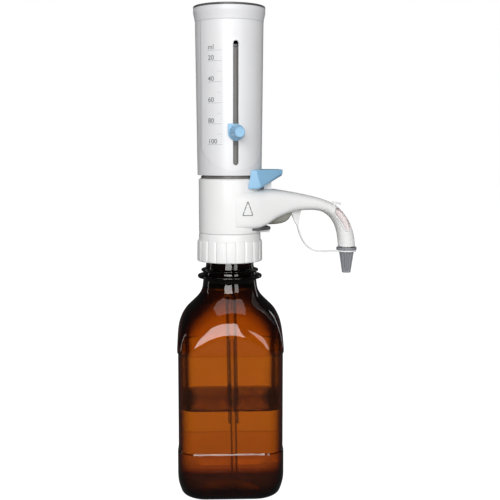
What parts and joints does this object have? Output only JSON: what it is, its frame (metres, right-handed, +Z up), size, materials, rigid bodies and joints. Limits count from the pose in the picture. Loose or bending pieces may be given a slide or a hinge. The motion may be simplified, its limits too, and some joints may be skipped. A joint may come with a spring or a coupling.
{
  "type": "bottle-top burette",
  "caption": "Bottle-top burette: piston dispenser with volume stop, discharge arm, valve lever and capped nozzle, screwed on a square amber glass bottle.",
  "frame": {"origin": "centre of the bottle's base, on the surface it stands on", "axes": "+Z up along the bottle and piston axis, +X along the discharge arm, -Y the side of the scale and the volume stop; the bottle itself is turned 10 degrees clockwise about Z under the head"},
  "size_m": [0.1623, 0.098, 0.411],
  "materials": {
    "amber_glass": "polished amber soda-lime glass",
    "clear_glass": "polished borosilicate glass",
    "white_plastic": "smooth moulded polypropylene, low sheen",
    "housing_plastic": "pearl silver-grey moulded plastic, fine satin",
    "dark_plastic": "dark grey moulded plastic, satin",
    "grey_plastic": "grey moulded plastic, satin",
    "blue_plastic": "light blue moulded plastic, low sheen",
    "fluoropolymer": "white fluoropolymer, waxy",
    "tube_plastic": "translucent fluoropolymer tube, smooth",
    "ceramic": "polished ceramic",
    "seal_rubber": "smooth sealing rubber",
    "spring_steel": "drawn wire",
    "screw_steel": "turned steel",
    "brass_insert": "turned brass"
  },
  "bodies": {
    "bottle": {"bottle": "amber_glass"},
    "neck_seal": {"sealing_washer": "seal_rubber"},
    "collar": {"screw_collar": "white_plastic"},
    "head": {"neck_spigot": "white_plastic", "tube_guide": "fluoropolymer", "valve_block_cover": "white_plastic", "valve_block_core": "fluoropolymer", "fill_valve": "fluoropolymer", "fill_tube": "tube_plastic", "return_tube": "tube_plastic", "discharge_union": "fluoropolymer", "discharge_valve": "grey_plastic", "discharge_spring": "spring_steel", "discharge_tube": "tube_plastic", "nozzle_tip": "fluoropolymer", "tether_clip": "white_plastic", "tether_strap": "white_plastic", "cylinder_seal": "seal_rubber", "cylinder_sleeve": "dark_plastic", "glass_cylinder": "clear_glass", "cylinder_clamp_ring": "dark_plastic", "lever_pin": "screw_steel", "lever_bracket": "white_plastic"},
    "plunger": {"piston_housing": "housing_plastic", "scale_panel": "housing_plastic", "top_ring": "housing_plastic", "top_cap": "dark_plastic", "piston_rod": "fluoropolymer", "rod_insert": "brass_insert", "piston_head": "fluoropolymer", "piston_seals": "seal_rubber", "piston_screw": "screw_steel"},
    "volume_stop": {"stop_slider": "dark_plastic", "pointer_plate": "blue_plastic", "stop_stud": "screw_steel"},
    "knob": {"stop_knob": "blue_plastic"},
    "lever": {"valve_lever": "blue_plastic"},
    "cap": {"nozzle_cap": "dark_plastic", "tether_ring": "white_plastic"},
    "filling_ball": {"fill_ball": "ceramic"},
    "delivery_ball": {"discharge_ball": "ceramic"},
    "suction": {"suction_tube": "tube_plastic"}
  },
  "joints": [
    {"name": "head_lift", "type": "slide", "parent": "bottle", "child": "neck_seal", "axis": [0, 0, 1], "range_m": [0, 0.012]},
    {"name": "collar_screw", "type": "hinge", "parent": "neck_seal", "child": "collar", "pos_m": [0, 0, 0.21], "axis": [0, 0, 1], "range_deg": [0, 1080]},
    {"name": "head_swivel", "type": "hinge", "parent": "neck_seal", "child": "head", "pos_m": [0, 0, 0.217], "axis": [0, 0, 1], "continuous": true},
    {"name": "plunger_lift", "type": "slide", "parent": "head", "child": "plunger", "axis": [0, 0, 1], "range_m": [0, 0.0674]},
    {"name": "stop_slide", "type": "slide", "parent": "plunger", "child": "volume_stop", "axis": [0, 0.0115, -0.9999], "range_m": [-0.059, 0.0168]},
    {"name": "knob_turn", "type": "hinge", "parent": "volume_stop", "child": "knob", "pos_m": [0, -0.037, 0.3073], "axis": [0, -1, 0], "range_deg": [0, 180]},
    {"name": "lever_tilt", "type": "hinge", "parent": "head", "child": "lever", "pos_m": [0.0318, 0, 0.2686], "axis": [0, 1, 0], "range_deg": [0, 20]},
    {"name": "cap_pull", "type": "slide", "parent": "head", "child": "cap", "axis": [0, 0, -1], "range_m": [0, 0.012], "deforming": ["tether_strap"]},
    {"name": "fill_ball_lift", "type": "slide", "parent": "head", "child": "filling_ball", "axis": [0, 0, 1], "range_m": [0, 0.0015]},
    {"name": "discharge_ball_lift", "type": "slide", "parent": "head", "child": "delivery_ball", "axis": [0.9472, 0, 0.3206], "range_m": [0, 0.0015], "stiffness_N_per_m": 40, "springref_m": -0.002, "deforming": ["discharge_spring"]},
    {"name": "suction_slide", "type": "slide", "parent": "head", "child": "suction", "axis": [-0.0166, 0, 0.9999], "range_m": [0, 0.06]}
  ],
  "couplings": [
    {"joint": "collar_screw", "follows": "head_lift", "rad_per_m": 1570.8}
  ]
}
